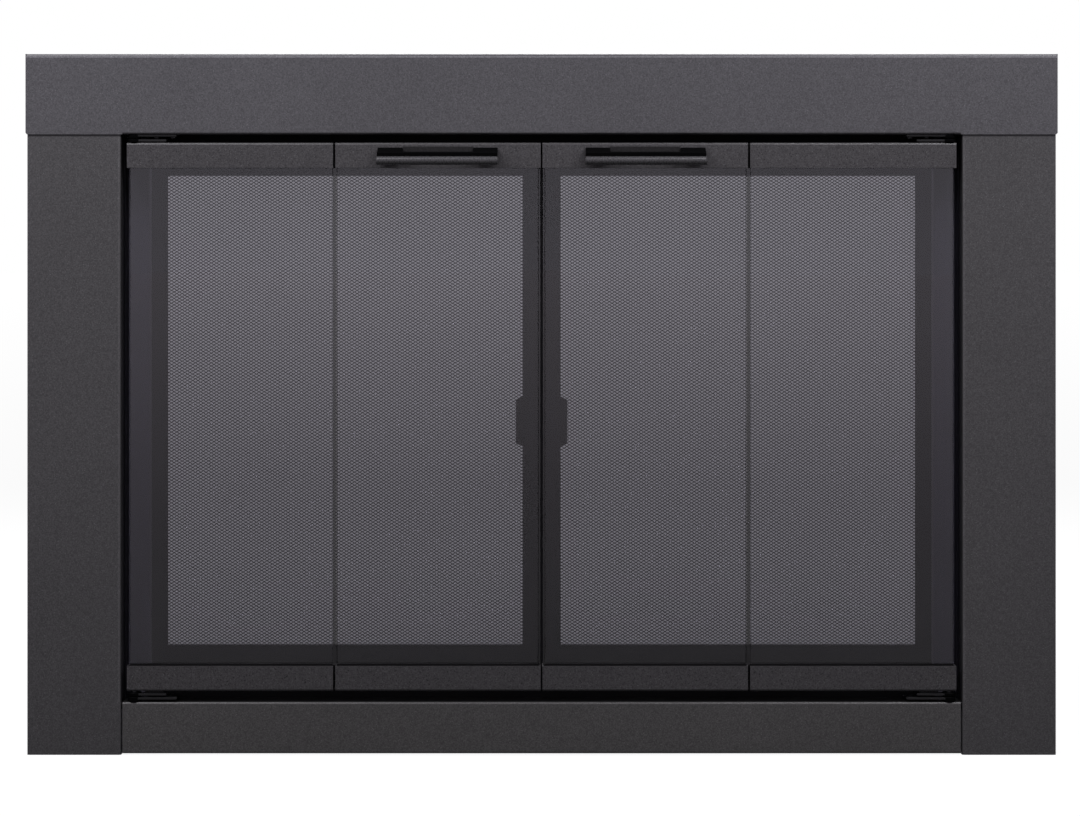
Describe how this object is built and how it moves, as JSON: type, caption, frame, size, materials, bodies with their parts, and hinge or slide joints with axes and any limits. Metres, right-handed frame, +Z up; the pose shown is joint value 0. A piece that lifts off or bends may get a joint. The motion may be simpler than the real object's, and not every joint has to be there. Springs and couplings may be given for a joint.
{
  "type": "fireplace glass door",
  "caption": "Bi-fold smoked-glass fireplace door in a folded sheet-steel surround, with clamp-railed panels, bar handles and hinged expanded-metal screens behind the glass.",
  "frame": {"origin": "centre of the width and of the whole depth, at the height of the hearth", "axes": "+X to the right as seen from the room, +Y into the firebox, +Z up; the front faces -Y"},
  "size_m": [1.105, 0.14, 0.75],
  "materials": {
    "powder_coat": "fine-textured satin charcoal powder coat on folded sheet steel",
    "handle_coat": "satin charcoal powder coat on a turned rod",
    "screen_coat": "matt charcoal coat on folded strip",
    "mesh_metal": "matt black coat on expanded steel",
    "hardware_coat": "matt dark coat on steel strip",
    "smoked_glass": "clear-faced smoke-tinted toughened glass",
    "smoked_seal": "dark smoke-tinted clear silicone strip",
    "gasket": "black woven glass-fibre tape",
    "black_moulding": "matt black heat-resistant moulding",
    "zinc_steel": "zinc-plated steel",
    "magnet": "dull ferrite magnet in a steel cup"
  },
  "bodies": {
    "surround": {"header_panel": "powder_coat", "left_side_panel": "powder_coat", "right_side_panel": "powder_coat", "bottom_panel": "powder_coat", "left_jamb": "powder_coat", "right_jamb": "powder_coat", "head_channel": "hardware_coat", "sill_channel": "hardware_coat", "corner_brackets": "zinc_steel", "frame_fasteners": "zinc_steel", "floor_brackets": "zinc_steel", "lintel_clamps": "zinc_steel", "pivot_plates": "hardware_coat", "fixed_pivot_bushes": "black_moulding", "catch_magnets": "magnet"},
    "left_outer_door": {"left_outer_glass": "smoked_glass", "left_outer_top_rail": "powder_coat", "left_outer_bottom_rail": "powder_coat", "left_outer_gaskets": "gasket", "left_pivot_leaves": "hardware_coat", "left_pivot_bushes": "black_moulding", "left_pivot_pins": "zinc_steel", "left_outer_hinge_leaves": "hardware_coat", "left_fold_seal": "smoked_seal"},
    "left_inner_door": {"left_inner_glass": "smoked_glass", "left_inner_top_rail": "powder_coat", "left_inner_bottom_rail": "powder_coat", "left_inner_gaskets": "gasket", "left_inner_hinge_leaves": "hardware_coat", "left_fold_pins": "zinc_steel", "left_handle_bar": "handle_coat", "left_handle_bridge": "black_moulding", "left_meeting_strip": "hardware_coat"},
    "left_screen": {"left_screen_rails": "screen_coat", "left_screen_stiles": "screen_coat", "left_screen_mesh": "mesh_metal", "left_screen_pull": "screen_coat", "left_screen_pins": "zinc_steel"},
    "right_outer_door": {"right_outer_glass": "smoked_glass", "right_outer_top_rail": "powder_coat", "right_outer_bottom_rail": "powder_coat", "right_outer_gaskets": "gasket", "right_pivot_leaves": "hardware_coat", "right_pivot_bushes": "black_moulding", "right_pivot_pins": "zinc_steel", "right_outer_hinge_leaves": "hardware_coat", "right_fold_seal": "smoked_seal"},
    "right_inner_door": {"right_inner_glass": "smoked_glass", "right_inner_top_rail": "powder_coat", "right_inner_bottom_rail": "powder_coat", "right_inner_gaskets": "gasket", "right_inner_hinge_leaves": "hardware_coat", "right_fold_pins": "zinc_steel", "right_handle_bar": "handle_coat", "right_handle_bridge": "black_moulding"},
    "right_screen": {"right_screen_rails": "screen_coat", "right_screen_stiles": "screen_coat", "right_screen_mesh": "mesh_metal", "right_screen_pull": "screen_coat", "right_screen_pins": "zinc_steel"}
  },
  "joints": [
    {"name": "left_door_pivot", "type": "hinge", "parent": "surround", "child": "left_outer_door", "pos_m": [-0.4366, -0.033, 0], "axis": [0, 0, -1], "range_deg": [0, 90]},
    {"name": "left_door_fold", "type": "hinge", "parent": "left_outer_door", "child": "left_inner_door", "pos_m": [-0.22205, -0.0222, 0], "axis": [0, 0, 1], "range_deg": [0, 172]},
    {"name": "left_screen_hinge", "type": "hinge", "parent": "surround", "child": "left_screen", "pos_m": [-0.4175, -0.004, 0], "axis": [0, 0, 1], "range_deg": [0, 80]},
    {"name": "right_door_pivot", "type": "hinge", "parent": "surround", "child": "right_outer_door", "pos_m": [0.4366, -0.033, 0], "axis": [0, 0, 1], "range_deg": [0, 90]},
    {"name": "right_door_fold", "type": "hinge", "parent": "right_outer_door", "child": "right_inner_door", "pos_m": [0.22205, -0.0222, 0], "axis": [0, 0, -1], "range_deg": [0, 172]},
    {"name": "right_screen_hinge", "type": "hinge", "parent": "surround", "child": "right_screen", "pos_m": [0.4175, -0.004, 0], "axis": [0, 0, -1], "range_deg": [0, 80]}
  ],
  "couplings": [
    {"joint": "left_door_fold", "follows": "left_door_pivot", "ratio": 1.9},
    {"joint": "right_door_fold", "follows": "right_door_pivot", "ratio": 1.9}
  ]
}
